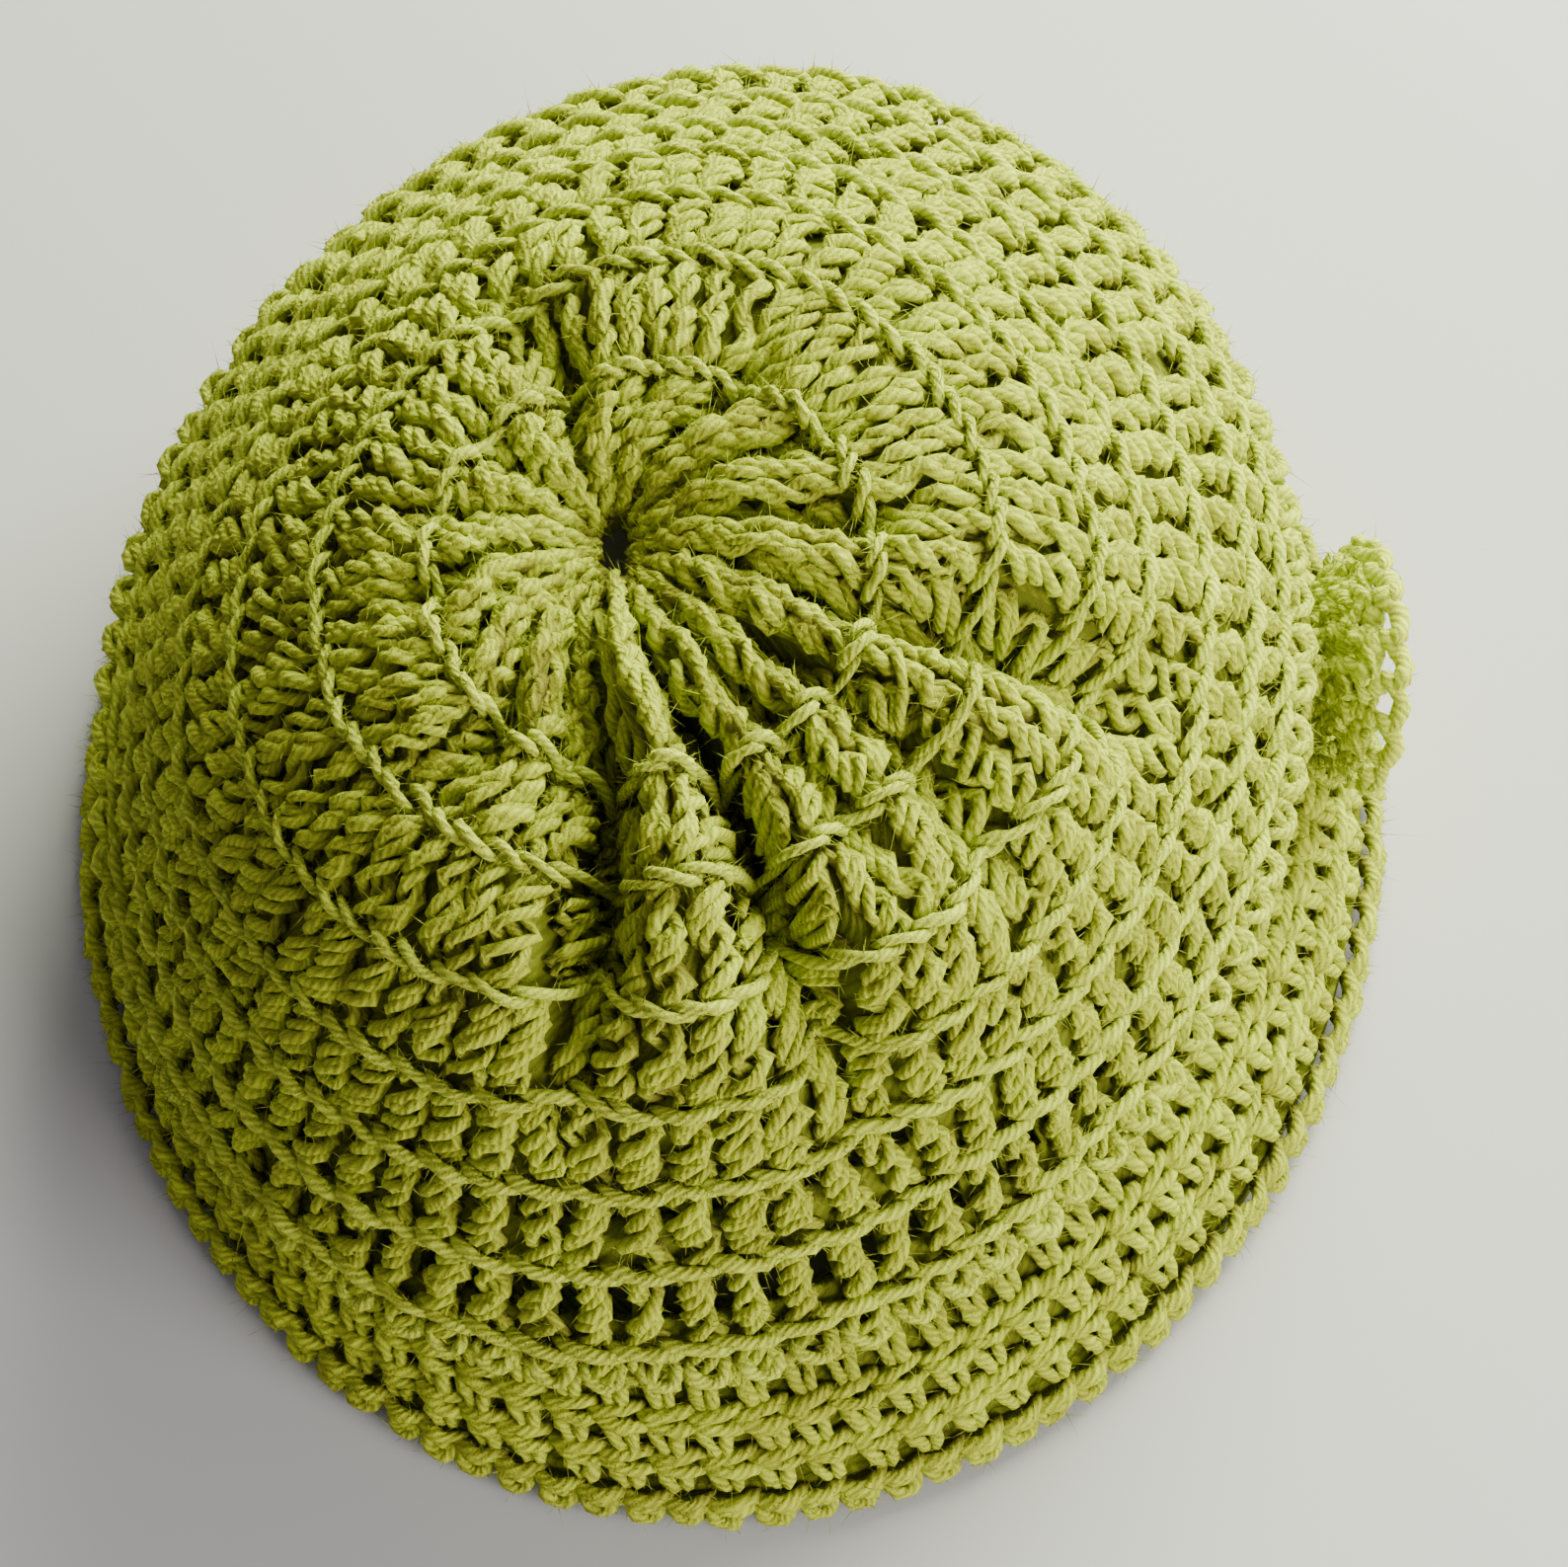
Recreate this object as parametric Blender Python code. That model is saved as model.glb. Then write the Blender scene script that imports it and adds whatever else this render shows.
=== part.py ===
"""Crochet slouchy hat: a gathered slouchy crown, a band, a knobbed edging and a flower.

Metres, +Z up. The hat stands on its rim at z = 0. The wearer's face would look along +Y and
the nape is toward -Y. Outlines are worked out from the named sizes and from short tables that
hold shares of those sizes, one row for each crochet round, gather or fold.
"""

import math

import bmesh
import bpy
import numpy as np
from mathutils import Matrix, Vector

# Driving dimensions of the hat, outside sizes
RIM_WIDTH = 0.182
RIM_DEPTH = 0.205
EDGING_HEIGHT = 0.0065
BAND_HEIGHT = 0.023
CROWN_RISE = 0.083
FABRIC = 0.0042
RIDGE_HEIGHT = 0.0012
RIDGE_SHARE = 0.25
BAND_SWELL = 0.0010
EDGING_ROUNDING = 0.0012
GATHER_DEPTH = 0.0048
FOLD_DEPTH = 0.0075
HOLE_RADIUS = 0.0024
SEAM_GAP = 0.0003

# Flower on the wearer's right
FLOWER_RADIUS = 0.0175
FLOWER_THICKNESS = 0.0030
FLOWER_DISH = 0.0085
FLOWER_LEAN = math.radians(10.0)
FLOWER_DIRECTION = math.radians(6.0)
FLOWER_ROUND = 9.0
SCALLOPS = 10
SCALLOP_SHARE = 0.06
FLAT_SHARE = 0.93

# Colours, linear
CROWN_COLOUR = (0.42, 0.46, 0.09)
BAND_COLOUR = (0.38, 0.42, 0.08)
FLOWER_COLOUR = (0.45, 0.49, 0.11)

# Mesh fineness
AROUND = 96
FLOWER_AROUND = 60
FLOWER_RINGS = 3
SHARP_ANGLE = math.radians(50)

# Crown rounds from the gathered middle down to the band.
# level, rise_right, rise_front, saddle: shares of CROWN_RISE above the band's top; saddle is how far
# the front and the back of a round stand above its sides.
# centre_x, skew, half_width: shares of half RIM_WIDTH; skew moves the front right and the back left.
# taper: how much wider a round is at the front than at its middle, as a share of its own half width.
# centre_y, half_depth: shares of half RIM_DEPTH. gather: share of GATHER_DEPTH at this round.
CROWN_COLUMNS = (
    "level", "rise_right", "rise_front", "saddle",
    "centre_x", "skew", "taper", "centre_y", "half_width", "half_depth", "gather",
)
CROWN_ROUNDS = (
    (0.91, 0.00, 0.00, 0.00, -0.155, 0.00, 0.00, -0.137, 0.000, 0.000, 0.00),
    (0.98, 0.01, 0.00, 0.00, -0.150, 0.00, 0.00, -0.165, 0.165, 0.148, 1.00),
    (0.99, 0.02, 0.01, 0.00, -0.100, 0.00, 0.00, -0.210, 0.306, 0.276, 0.90),
    (0.95, 0.04, 0.02, 0.03, -0.090, 0.00, 0.00, -0.200, 0.459, 0.426, 0.45),
    (0.85, 0.05, 0.03, 0.05, -0.083, 0.01, 0.00, -0.200, 0.590, 0.560, 0.20),
    (0.71, 0.06, 0.05, 0.06, -0.088, 0.02, 0.01, -0.170, 0.676, 0.664, 0.08),
    (0.55, 0.07, 0.07, 0.07, -0.074, 0.04, 0.04, -0.130, 0.755, 0.746, 0.00),
    (0.39, 0.07, 0.09, 0.07, -0.060, 0.06, 0.05, -0.085, 0.814, 0.830, 0.00),
    (0.24, 0.06, 0.10, 0.06, -0.052, 0.06, 0.06, -0.045, 0.856, 0.908, 0.00),
    (0.08, 0.00, 0.02, 0.01, -0.034, 0.05, 0.06, -0.005, 0.884, 0.934, 0.00),
    (0.00, 0.00, 0.00, 0.00, -0.034, 0.04, 0.06, 0.000, 0.850, 0.908, 0.00),
)

# Band rounds from its top to its bottom: level is a share of BAND_HEIGHT above the edging.
BAND_COLUMNS = ("level", "centre_x", "skew", "taper", "centre_y", "half_width", "half_depth")
BAND_ROUNDS = (
    (1.00, -0.034, 0.04, 0.06, 0.000, 0.850, 0.908),
    (0.67, -0.022, 0.04, 0.06, 0.000, 0.905, 0.943),
    (0.33, -0.010, 0.03, 0.06, 0.000, 0.948, 0.972),
    (0.00, 0.000, 0.02, 0.06, 0.000, 0.982, 0.990),
)
RIM_OVAL = dict(zip(BAND_COLUMNS, (0.00, 0.000, 0.02, 0.06, 0.000, 1.000, 1.000)))

# Pleats drawn together at the hole, one row for each valley between two pleats.
# direction: degrees round from the right. depth: share of GATHER_DEPTH. reach: round it fades out at.
GATHER_COLUMNS = ("direction", "depth", "reach")
GATHERS = (
    (12, 0.8, 2.6),
    (40, 0.7, 2.2),
    (66, 0.9, 2.3),
    (88, 0.5, 2.0),
    (112, 1.0, 2.8),
    (140, 0.7, 2.2),
    (163, 0.8, 2.2),
    (186, 0.9, 2.3),
    (208, 0.6, 2.1),
    (228, 1.0, 2.7),
    (246, 0.9, 2.6),
    (262, 1.1, 3.4),
    (286, 1.1, 3.6),
    (305, 0.9, 2.8),
    (324, 1.2, 3.0),
    (346, 1.0, 2.8),
)
GATHER_HALF_ANGLE = 5.0

# Long folds and dents of the soft crown, one row each, between the first and last round they touch.
# Directions and the half angle across are degrees. depth: share of FOLD_DEPTH.
FOLD_COLUMNS = ("first_round", "first_direction", "last_round", "last_direction", "half_angle", "depth")
FOLDS = (
    (1.0, 256, 5.0, 262, 8.0, 0.55),
    (1.0, 284, 6.0, 296, 7.0, 0.60),
    (1.6, 352, 6.0, 352, 12.0, 0.90),
    (2.2, 318, 5.0, 322, 9.0, 0.30),
    (2.0, 118, 3.6, 120, 8.0, 0.25),
)

# Small steps for reading directions off a surface
ANGLE_STEP = 0.02
PLACE_STEP = 0.02

HALF_WIDTH = RIM_WIDTH / 2
HALF_DEPTH = RIM_DEPTH / 2
BAND_BOTTOM = EDGING_HEIGHT + SEAM_GAP
CROWN_BOTTOM = BAND_BOTTOM + BAND_HEIGHT + SEAM_GAP


def row_at(columns, rows, place):
    """Read a table at a fractional row, on a smooth curve through its rows."""
    table = np.array(rows)
    last = len(rows) - 1
    first = min(int(place), last - 1)
    share = place - first
    here = table[first]
    there = table[first + 1]
    slope_here = (there - table[first - 1]) / 2 if first > 0 else there - here
    slope_there = (table[first + 2] - here) / 2 if first < last - 1 else there - here
    values = (
        here * (1 + 2 * share) * (1 - share) ** 2
        + slope_here * share * (1 - share) ** 2
        + there * share ** 2 * (3 - 2 * share)
        + slope_there * share ** 2 * (share - 1)
    )
    return dict(zip(columns, values))


def loop(row, theta, height):
    """One oval loop of the hat, as an array of points, one for each angle."""
    half_x = np.hypot(HALF_WIDTH * row["half_width"], HOLE_RADIUS)
    half_y = np.hypot(HALF_DEPTH * row["half_depth"], HOLE_RADIUS)
    middle = row["centre_x"] + row["skew"] * np.sin(theta)
    x = HALF_WIDTH * middle + half_x * np.cos(theta) * (1 + row["taper"] * np.sin(theta))
    y = HALF_DEPTH * row["centre_y"] + half_y * np.sin(theta)
    return np.stack([x, y, height + 0 * theta], axis=-1)


def crown_base(theta, place):
    """The crown's outer surface before any gather, fold or ridge."""
    row = row_at(CROWN_COLUMNS, CROWN_ROUNDS, place)
    tilt = row["rise_right"] * np.cos(theta) + row["rise_front"] * np.sin(theta)
    level = row["level"] + tilt - row["saddle"] * np.cos(2 * theta)
    return loop(row, theta, CROWN_BOTTOM + CROWN_RISE * level)


def band_base(theta, place):
    """The band's outer surface."""
    row = row_at(BAND_COLUMNS, BAND_ROUNDS, place)
    return loop(row, theta, BAND_BOTTOM + BAND_HEIGHT * row["level"])


def outward(base, theta, place, last):
    """Unit normals of a surface of loops, pointing out of the hat."""
    along = base(theta + ANGLE_STEP, place) - base(theta - ANGLE_STEP, place)
    low = min(place + PLACE_STEP, last)
    high = max(place - PLACE_STEP, 0.0)
    down = base(theta, low) - base(theta, high)
    normal = np.cross(down, along)
    return normal / np.linalg.norm(normal, axis=-1, keepdims=True)


def angle_between(theta, direction):
    """Signed angle in degrees from a direction in degrees, between -180 and 180."""
    return (np.degrees(theta) - direction + 180) % 360 - 180


def gather_relief(theta, place):
    """Depth of the pleat valleys below the pleats' crests, negative into the hat."""
    share = row_at(CROWN_COLUMNS, CROWN_ROUNDS, place)["gather"]
    relief = 0 * theta
    for values in GATHERS:
        valley = dict(zip(GATHER_COLUMNS, values))
        fade = min(max(valley["reach"] - place, 0.0), 1.0)
        across = angle_between(theta, valley["direction"]) / GATHER_HALF_ANGLE
        relief = relief - GATHER_DEPTH * share * valley["depth"] * fade * np.exp(-across ** 2)
    return relief


def fold_relief(theta, place):
    """Depth of the long folds and dents, negative into the hat."""
    relief = 0 * theta
    for values in FOLDS:
        fold = dict(zip(FOLD_COLUMNS, values))
        along = (place - fold["first_round"]) / (fold["last_round"] - fold["first_round"])
        if 0 < along < 1:
            turn = fold["last_direction"] - fold["first_direction"]
            across = angle_between(theta, fold["first_direction"] + turn * along) / fold["half_angle"]
            depth = FOLD_DEPTH * fold["depth"] * math.sin(math.pi * along)
            relief = relief - depth * np.exp(-across ** 2)
    return relief


def ridge_relief(place):
    """Height of the corded ridge that ends each round."""
    off_ridge = abs(place - round(place))
    return RIDGE_HEIGHT * max(0.0, 1 - off_ridge / RIDGE_SHARE)


def crown_outer(theta, place):
    """The crown's outer surface with its gathers, folds and ridges."""
    last = len(CROWN_ROUNDS) - 1
    relief = gather_relief(theta, place) + fold_relief(theta, place)
    if 0 < place < last:
        relief = relief + ridge_relief(place)
    return crown_base(theta, place) + outward(crown_base, theta, place, last) * relief[:, None]


def crown_inner(theta, place):
    """The crown's inner surface: it follows the long folds, and lies below every gather."""
    last = len(CROWN_ROUNDS) - 1
    share = row_at(CROWN_COLUMNS, CROWN_ROUNDS, place)["gather"]
    relief = fold_relief(theta, place) - FABRIC - GATHER_DEPTH * share
    return crown_base(theta, place) + outward(crown_base, theta, place, last) * relief[:, None]


# Meshes


def level_inset(base, theta, place, thickness):
    """Move one loop into the hat by the fabric's thickness, keeping its height."""
    along = base(theta + ANGLE_STEP, place) - base(theta - ANGLE_STEP, place)
    normal = np.stack([along[:, 1], -along[:, 0], 0 * theta], axis=-1)
    normal = normal / np.linalg.norm(normal, axis=-1, keepdims=True)
    return base(theta, place) - normal * thickness


def closed_mesh(name, loops, material, capped=False):
    """Join loops of points, in order, into one closed solid and give it to a new object.

    A ring-shaped solid joins its last loop to its first. A capped one closes both ends instead.
    """
    mesh = bmesh.new()
    rows = [[mesh.verts.new(point) for point in points] for points in loops]
    pairs = list(zip(rows, rows[1:]))
    if capped:
        mesh.faces.new(rows[0])
        mesh.faces.new(rows[-1])
    else:
        pairs.append((rows[-1], rows[0]))
    for upper, lower in pairs:
        count = len(upper)
        for i in range(count):
            j = (i + 1) % count
            mesh.faces.new((upper[i], upper[j], lower[j], lower[i]))
    bmesh.ops.recalc_face_normals(mesh, faces=mesh.faces)
    data = bpy.data.meshes.new(name)
    mesh.to_mesh(data)
    mesh.free()
    data.shade_smooth()
    data.set_sharp_from_angle(angle=SHARP_ANGLE)
    data.materials.append(material)
    piece = bpy.data.objects.new(name, data)
    bpy.context.scene.collection.objects.link(piece)
    return piece


def yarn(name, colour):
    """Soft plied wool mix: matt, with no metal in it."""
    material = bpy.data.materials.new(name)
    material.use_nodes = True
    shader = material.node_tree.nodes["Principled BSDF"]
    shader.inputs["Base Color"].default_value = (*colour, 1.0)
    shader.inputs["Roughness"].default_value = 0.85
    shader.inputs["Metallic"].default_value = 0.0
    return material


def around(count):
    """Evenly spaced angles round a loop."""
    return np.linspace(0, 2 * math.pi, count, endpoint=False)


def make_crown():
    """Gathered crown: a shell open at the bottom, with the small gathered hole at its top."""
    theta = around(AROUND)
    last = len(CROWN_ROUNDS) - 1
    shares = (0.0, RIDGE_SHARE, 1 - RIDGE_SHARE)
    places = [first + share for first in range(last - 1) for share in shares]
    outer = [crown_outer(theta, place) for place in places + [last - 1.0, float(last)]]
    inner = [crown_inner(theta, float(place)) for place in range(1, last)]
    hole = outer[0] - np.array([0, 0, FABRIC])
    foot = level_inset(crown_base, theta, float(last), FABRIC)
    loops = outer + [foot] + inner[::-1] + [hole]
    return closed_mesh("crown", loops, yarn("crown_yarn", CROWN_COLOUR))


def make_band():
    """Band: a ring of rounds that swell a little between the seams, with flat ends."""
    theta = around(AROUND)
    last = len(BAND_ROUNDS) - 1
    outer = []
    inner = []
    for first in range(last):
        outer.append(band_base(theta, float(first)))
        outer.append(level_inset(band_base, theta, first + 0.5, -BAND_SWELL))
    outer.append(band_base(theta, float(last)))
    for place in range(last + 1):
        inner.append(level_inset(band_base, theta, float(place), FABRIC))
    return closed_mesh("band", outer + inner[::-1], yarn("band_yarn", BAND_COLOUR))


def make_edging():
    """Edging: the last round at the rim, with rounded outer edges and a flat foot to rest on."""
    theta = around(AROUND)

    def oval(_theta, _place):
        return loop(RIM_OVAL, _theta, 0.0)

    profile = (
        (EDGING_ROUNDING, 0.0),
        (0.0, EDGING_ROUNDING),
        (0.0, EDGING_HEIGHT - EDGING_ROUNDING),
        (EDGING_ROUNDING, EDGING_HEIGHT),
        (FABRIC, EDGING_HEIGHT),
        (FABRIC, 0.0),
    )
    loops = []
    for inset, height in profile:
        points = level_inset(oval, theta, 0.0, inset)
        loops.append(points + np.array([0, 0, height]))
    return closed_mesh("edging", loops, yarn("edging_yarn", BAND_COLOUR))


def make_flower():
    """Round flower: a cupped, scalloped disc, sewn by its middle to the lip of the slouch."""
    seat = crown_outer(np.array([FLOWER_DIRECTION]), FLOWER_ROUND)[0]
    radial = np.array([math.cos(FLOWER_DIRECTION), math.sin(FLOWER_DIRECTION), 0.0])
    side = np.array([-radial[1], radial[0], 0.0])
    up = np.array([0.0, 0.0, 1.0])
    climb = radial * math.sin(FLOWER_LEAN) + up * math.cos(FLOWER_LEAN)
    facing = radial * math.cos(FLOWER_LEAN) - up * math.sin(FLOWER_LEAN)
    middle = seat + radial * SEAM_GAP + facing * (FLOWER_THICKNESS / 2 + FLOWER_DISH)
    phi = around(FLOWER_AROUND)
    edge = FLOWER_RADIUS * (1 - SCALLOP_SHARE * np.abs(np.cos(phi * SCALLOPS / 2)))

    def loop_at(share, face):
        spread = edge[:, None] * share * (np.outer(np.cos(phi), side) + np.outer(np.sin(phi), climb))
        lift = FLOWER_DISH * (share ** 2 - 1) + face * FLOWER_THICKNESS / 2
        return middle + spread + facing * lift

    shares = [(ring + 1) / FLOWER_RINGS * FLAT_SHARE for ring in range(FLOWER_RINGS)]
    front = [loop_at(share, 1) for share in shares]
    back = [loop_at(share, -1) for share in shares]
    loops = front + [loop_at(1.0, 0)] + back[::-1]
    return closed_mesh("flower", loops, yarn("flower_yarn", FLOWER_COLOUR), capped=True)


def stand_on_origin(pieces):
    """Move every piece so that the hat's box stands centred on the origin."""
    points = np.array([vertex.co for piece in pieces for vertex in piece.data.vertices])
    low = points.min(axis=0)
    high = points.max(axis=0)
    shift = Vector((-(low[0] + high[0]) / 2, -(low[1] + high[1]) / 2, -low[2]))
    for piece in pieces:
        piece.data.transform(Matrix.Translation(shift))


def main():
    for old in list(bpy.data.objects):
        bpy.data.objects.remove(old, do_unlink=True)
    stand_on_origin([make_crown(), make_band(), make_edging(), make_flower()])


main()
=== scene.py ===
"""Looks of the crochet slouchy hat: every stitch as plied yarn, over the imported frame.

The hat's outline comes from the same named sizes and tables as its solids. A Surface turns that
outline into a sheet that is read by turn (share of the way round) and place (crochet round), and
each stitch is a strand of yarn laid on that sheet.
"""

import logging
import math
from dataclasses import dataclass, field
from enum import Enum
from typing import Callable

import bpy
import numpy as np
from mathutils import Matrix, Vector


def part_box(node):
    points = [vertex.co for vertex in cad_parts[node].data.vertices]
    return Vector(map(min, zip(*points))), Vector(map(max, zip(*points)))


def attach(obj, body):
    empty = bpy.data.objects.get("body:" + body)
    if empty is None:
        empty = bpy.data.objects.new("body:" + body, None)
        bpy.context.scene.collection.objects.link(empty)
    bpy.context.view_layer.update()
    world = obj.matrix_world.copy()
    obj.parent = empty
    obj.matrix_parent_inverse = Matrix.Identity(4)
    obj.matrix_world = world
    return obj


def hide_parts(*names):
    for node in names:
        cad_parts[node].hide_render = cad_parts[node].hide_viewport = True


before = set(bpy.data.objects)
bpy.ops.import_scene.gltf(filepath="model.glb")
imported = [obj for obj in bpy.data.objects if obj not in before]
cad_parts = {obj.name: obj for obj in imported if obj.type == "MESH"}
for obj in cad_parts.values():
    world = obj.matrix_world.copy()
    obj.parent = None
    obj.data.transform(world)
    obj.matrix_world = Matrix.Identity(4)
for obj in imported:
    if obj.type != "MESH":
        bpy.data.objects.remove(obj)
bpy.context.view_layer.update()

logging.basicConfig(level=logging.INFO, format="%(message)s")
log = logging.getLogger("hat")

MM = 0.001
SEED = 11

# Least height of any yarn above the floor
FLOOR_GAP = 0.05 * MM

# Painted shade: dark green that the wrong side takes where it shows between the stitches,
# standing in for the shade that falls there
WRONG_SIDE_PAINTED_SHADE = "4A5018"

# Crown rounds from the gathered middle down to the band, as shares of the hat's named sizes.
CROWN_COLUMNS = (
    "level", "rise_right", "rise_front", "saddle",
    "centre_x", "skew", "taper", "centre_y", "half_width", "half_depth", "gather",
)
CROWN_ROUNDS = (
    (0.91, 0.00, 0.00, 0.00, -0.155, 0.00, 0.00, -0.137, 0.000, 0.000, 0.00),
    (0.98, 0.01, 0.00, 0.00, -0.150, 0.00, 0.00, -0.165, 0.165, 0.148, 1.00),
    (0.99, 0.02, 0.01, 0.00, -0.100, 0.00, 0.00, -0.210, 0.306, 0.276, 0.90),
    (0.95, 0.04, 0.02, 0.03, -0.090, 0.00, 0.00, -0.200, 0.459, 0.426, 0.70),
    (0.85, 0.05, 0.03, 0.05, -0.083, 0.01, 0.00, -0.200, 0.590, 0.560, 0.45),
    (0.71, 0.06, 0.05, 0.06, -0.088, 0.02, 0.01, -0.170, 0.676, 0.664, 0.20),
    (0.55, 0.07, 0.07, 0.07, -0.074, 0.04, 0.04, -0.130, 0.755, 0.746, 0.00),
    (0.39, 0.07, 0.09, 0.07, -0.060, 0.06, 0.05, -0.085, 0.814, 0.830, 0.00),
    (0.24, 0.06, 0.10, 0.06, -0.052, 0.06, 0.06, -0.045, 0.856, 0.908, 0.00),
    (0.08, 0.00, 0.02, 0.01, -0.034, 0.05, 0.06, -0.005, 0.884, 0.934, 0.00),
    (0.00, 0.00, 0.00, 0.00, -0.034, 0.04, 0.06, 0.000, 0.850, 0.908, 0.00),
)

# Band rounds from its top to its bottom: level is a share of the band's height above the edging.
BAND_COLUMNS = ("level", "centre_x", "skew", "taper", "centre_y", "half_width", "half_depth")
BAND_ROUNDS = (
    (1.00, -0.034, 0.04, 0.06, 0.000, 0.850, 0.908),
    (0.67, -0.022, 0.04, 0.06, 0.000, 0.905, 0.943),
    (0.33, -0.010, 0.03, 0.06, 0.000, 0.948, 0.972),
    (0.00, 0.000, 0.02, 0.06, 0.000, 0.982, 0.990),
)
RIM_COLUMNS = ("centre_x", "skew", "taper", "centre_y", "half_width", "half_depth")
RIM_OVAL = (0.000, 0.02, 0.06, 0.000, 1.000, 1.000)

# Valleys between the pleats drawn together at the hole: degrees round from the right, share of the
# gathers' depth, and the round that each fades out at.
GATHER_COLUMNS = ("direction", "depth", "reach")
GATHERS = (
    (12, 0.8, 2.9), (40, 0.7, 2.5), (66, 0.9, 2.6), (88, 0.5, 2.2),
    (112, 1.0, 3.2), (140, 0.7, 2.4), (163, 0.8, 2.4), (186, 0.9, 2.6),
    (208, 0.6, 2.4), (228, 1.0, 3.2), (246, 0.9, 3.4), (262, 1.1, 4.6),
    (286, 1.2, 5.0), (305, 0.9, 4.0), (324, 1.2, 4.2), (346, 1.0, 3.6),
)

# Long folds and dents between the first and last round that they touch, directions in degrees.
FOLD_COLUMNS = ("first_round", "first_direction", "last_round", "last_direction", "half_angle", "depth")
FOLDS = (
    (0.6, 254, 5.4, 262, 9.0, 0.85),
    (0.6, 283, 6.2, 296, 8.0, 0.95),
    (1.6, 352, 6.0, 352, 12.0, 0.90),
    (2.2, 318, 5.0, 322, 9.0, 0.30),
    (2.0, 118, 3.6, 120, 8.0, 0.25),
)

# Stitches of each crown round, from the hole down: where they start and end, how many, yarn size, turns
# of their strands round each other, narrowing at the top, unevenness of the start, size of the ridge
ROUND_COLUMNS = ("first", "last", "stitches", "gauge", "turns", "open", "ragged", "ridge")
CROWN_STITCHES = (
    (0.12, 2.0, 56, 1.00, 4.6, 0.00, 0.08, 0.00),
    (2.0, 3.0, 62, 1.00, 1.9, 0.05, 0.03, 0.85),
    (3.0, 4.0, 64, 1.02, 1.8, 0.08, 0.03, 0.85),
    (4.0, 5.0, 67, 1.02, 1.8, 0.12, 0.03, 0.90),
    (5.0, 6.0, 70, 1.02, 1.8, 0.18, 0.02, 0.95),
    (6.0, 7.0, 74, 1.00, 1.8, 0.30, 0.02, 1.05),
    (7.0, 8.0, 78, 1.00, 1.8, 0.42, 0.02, 1.20),
    (8.0, 9.0, 82, 0.95, 1.5, 0.15, 0.02, 1.15),
    (9.0, 10.0, 82, 0.85, 0.8, 0.05, 0.02, 0.00),
)

# Rounds in which daylight shows between the stitches, and over which part of the way round
HOLE_COLUMNS = ("round", "stitches", "first_direction", "last_direction", "last_share", "half_width")
HOLE_ROUNDS = (
    (6, 74, 222, 300, 0.60, 0.19),
    (7, 78, 198, 328, 0.85, 0.23),
)


class Seen(Enum):
    """Which faces of a fabric are seen."""

    OUTER = "outer"
    BOTH = "both"


def linear(value: str) -> tuple[float, float, float, float]:
    """Turn an sRGB hex colour into the linear colour that a shader takes.

    Args:
        value: Six hex digits, such as "B9C25C".

    Returns:
        Red, green, blue and alpha, linear.
    """
    shares = [int(value[i:i + 2], 16) / 255 for i in (0, 2, 4)]
    parts = [share / 12.92 if share <= 0.04045 else ((share + 0.055) / 1.055) ** 2.4 for share in shares]
    return (*parts, 1.0)


def add_node(tree: bpy.types.NodeTree, kind: str, links: dict, **settings: object) -> bpy.types.Node:
    """Add one node with its settings and what comes into it.

    Args:
        tree: The node tree that takes the node.
        kind: The node's type name.
        links: Input name or number to an output socket, or to a constant.
        **settings: Attributes of the node.

    Returns:
        The new node.
    """
    node = tree.nodes.new(kind)
    for name, value in settings.items():
        setattr(node, name, value)
    for name, value in links.items():
        if isinstance(value, bpy.types.NodeSocket):
            tree.links.new(value, node.inputs[name])
        else:
            node.inputs[name].default_value = value
    return node


# Scale at which a wave texture has one band for each unit of its map
WAVE_PER_UNIT = math.pi / 10


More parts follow.
